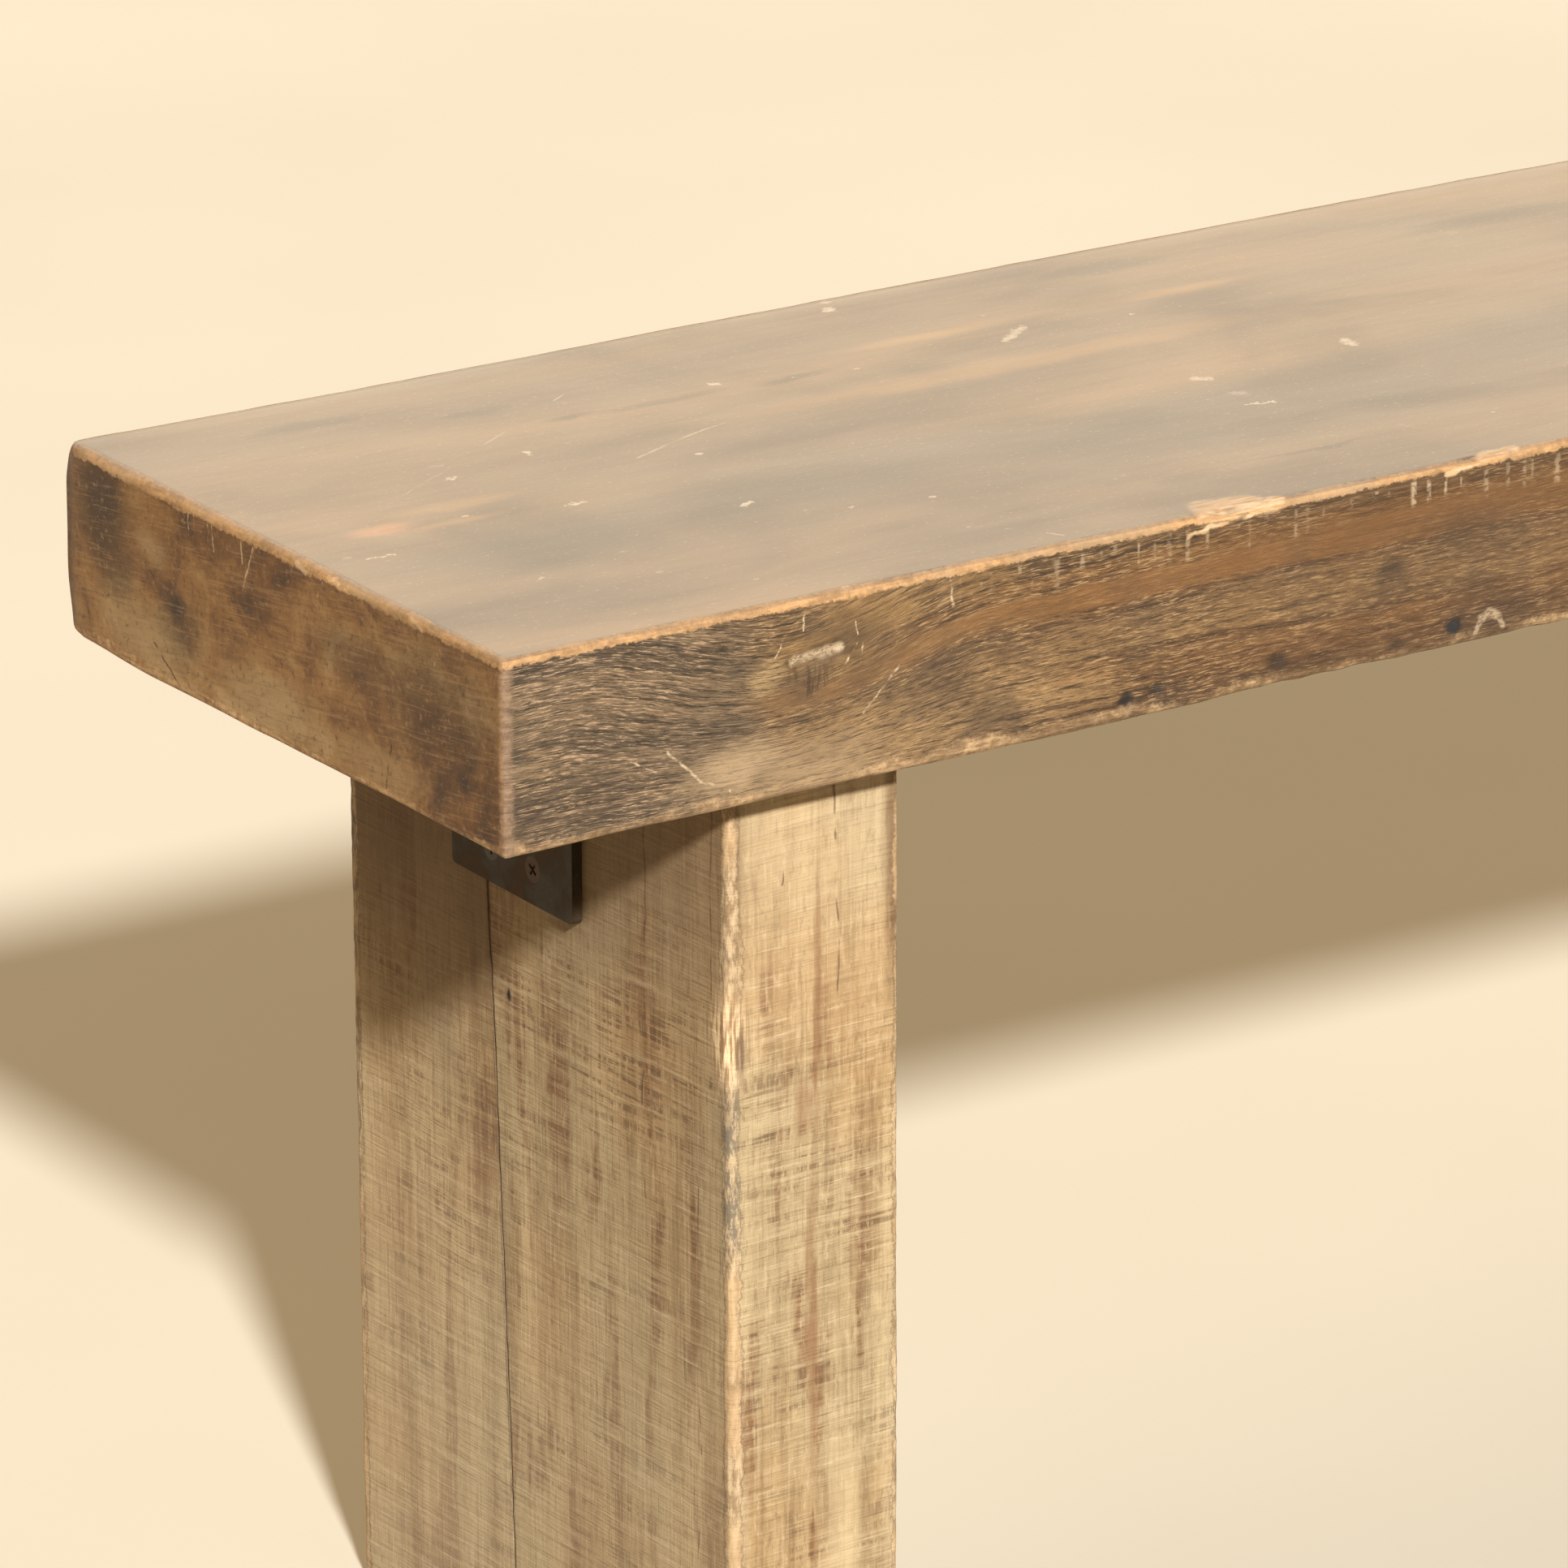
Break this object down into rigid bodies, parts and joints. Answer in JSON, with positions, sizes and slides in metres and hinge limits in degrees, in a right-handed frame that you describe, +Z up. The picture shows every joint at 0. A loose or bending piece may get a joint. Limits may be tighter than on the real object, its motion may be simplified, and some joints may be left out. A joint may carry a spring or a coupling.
{
  "type": "backless bench",
  "caption": "Backless bench of heavy old timber: a thick worn plank seat on slab legs of edge-glued boards, held by steel angle brackets with countersunk screws.",
  "frame": {"origin": "on the ground, under the middle of the seat", "axes": "+X along the seat, +Y to the back, +Z up"},
  "size_m": [1.5, 0.295, 0.455],
  "materials": {
    "seat_wood": "satin varnish, worn through along the edges",
    "leg_wood": "raw sawn and weathered",
    "dowel_wood": "raw",
    "bracket_steel": "dark, dull, lightly rusted",
    "screw_steel": "dark, dull",
    "nail_iron": "rusted, ground smooth at the broken end"
  },
  "bodies": {
    "root": {"seat_plank": "seat_wood", "old_nails": "nail_iron", "left_leg_front_board": "leg_wood", "left_leg_back_board": "leg_wood", "left_leg_dowels": "dowel_wood", "left_outer_bracket": "bracket_steel", "left_outer_bracket_leg_screws": "screw_steel", "left_outer_bracket_seat_screws": "screw_steel", "left_inner_bracket": "bracket_steel", "left_inner_bracket_leg_screws": "screw_steel", "left_inner_bracket_seat_screws": "screw_steel", "right_leg_front_board": "leg_wood", "right_leg_back_board": "leg_wood", "right_leg_dowels": "dowel_wood", "right_outer_bracket": "bracket_steel", "right_outer_bracket_leg_screws": "screw_steel", "right_outer_bracket_seat_screws": "screw_steel", "right_inner_bracket": "bracket_steel", "right_inner_bracket_leg_screws": "screw_steel", "right_inner_bracket_seat_screws": "screw_steel"}
  },
  "joints": []
}
